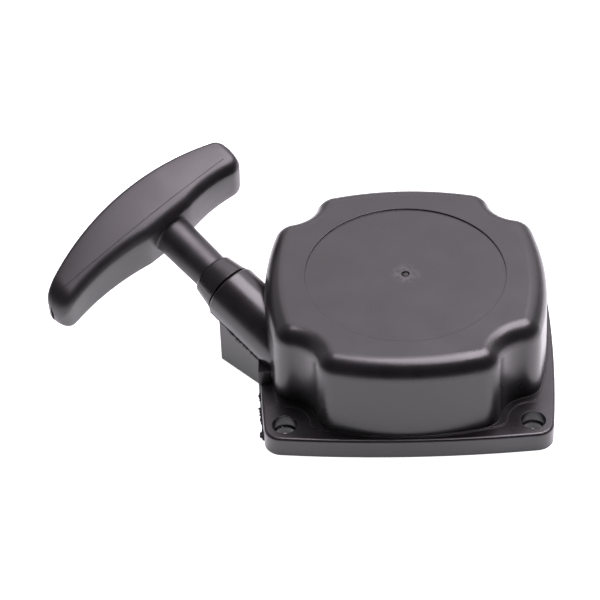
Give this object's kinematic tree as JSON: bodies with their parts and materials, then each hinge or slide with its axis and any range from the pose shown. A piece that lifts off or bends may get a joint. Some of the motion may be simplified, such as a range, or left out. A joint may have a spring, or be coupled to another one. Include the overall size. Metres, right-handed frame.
{
  "type": "recoil_starter",
  "caption": "Recoil pull starter for a small two-stroke engine: black moulded housing, side rope exit, T-shaped pull handle, spring-wound reel and friction-driven pawls.",
  "frame": {"origin": "Centre of the four bolt holes, on the face that sits against the engine", "axes": "+Z away from the engine along the reel axis; X and Y along the sides of the square bolt pattern; the rope leaves toward -X +Y and upward"},
  "size_m": [0.1373, 0.0883, 0.0419],
  "materials": {
    "housing_plastic": "satin moulded",
    "handle_plastic": "satin moulded",
    "guide_plastic": "smooth moulded",
    "reel_plastic": "moulded nylon",
    "cord": "braided cord",
    "spring_steel": "oiled",
    "pawl_steel": "sintered",
    "zinc_steel": "zinc plated"
  },
  "bodies": {
    "housing": {"starter_housing": "housing_plastic", "rope_guide": "guide_plastic", "rope_exit": "cord", "recoil_spring": "spring_steel", "spring_cover": "reel_plastic", "cover_screws": "zinc_steel", "brake_hub": "zinc_steel", "brake_spring": "spring_steel", "centre_bolt": "zinc_steel"},
    "reel": {"reel": "reel_plastic", "rope_on_reel": "cord", "reel_knot": "cord", "pawl_pins": "zinc_steel"},
    "brake": {"brake_plate": "spring_steel"},
    "pawl_a": {"pawl_a": "pawl_steel"},
    "pawl_b": {"pawl_b": "pawl_steel"},
    "handle": {"pull_handle": "handle_plastic", "knot_washer": "zinc_steel", "handle_knot": "cord", "handle_plug": "handle_plastic", "rope_to_handle": "cord"}
  },
  "joints": [
    {"name": "handle_pull", "type": "slide", "parent": "housing", "child": "handle", "axis": [-0.6751, 0.6751, 0.2974], "range_m": [0, 0.5]},
    {"name": "reel_spin", "type": "hinge", "parent": "housing", "child": "reel", "pos_m": [0, 0, 0.0116], "axis": [0, 0, 1], "range_deg": [-1240, 0], "deforming": ["rope_on_reel", "recoil_spring"]},
    {"name": "brake_turn", "type": "hinge", "parent": "reel", "child": "brake", "pos_m": [0, 0, 0.0042], "axis": [0, 0, 1], "range_deg": [0, 40]},
    {"name": "pawl_a_swing", "type": "hinge", "parent": "reel", "child": "pawl_a", "pos_m": [0.0115, 0, 0.0066], "axis": [0, 0, 1], "range_deg": [0, 30]},
    {"name": "pawl_b_swing", "type": "hinge", "parent": "reel", "child": "pawl_b", "pos_m": [-0.0115, 0, 0.0066], "axis": [0, 0, 1], "range_deg": [0, 30]}
  ],
  "couplings": [
    {"joint": "reel_spin", "follows": "handle_pull", "rad_per_m": -42.7},
    {"joint": "pawl_a_swing", "follows": "brake_turn", "ratio": 0.75},
    {"joint": "pawl_b_swing", "follows": "brake_turn", "ratio": 0.75}
  ]
}
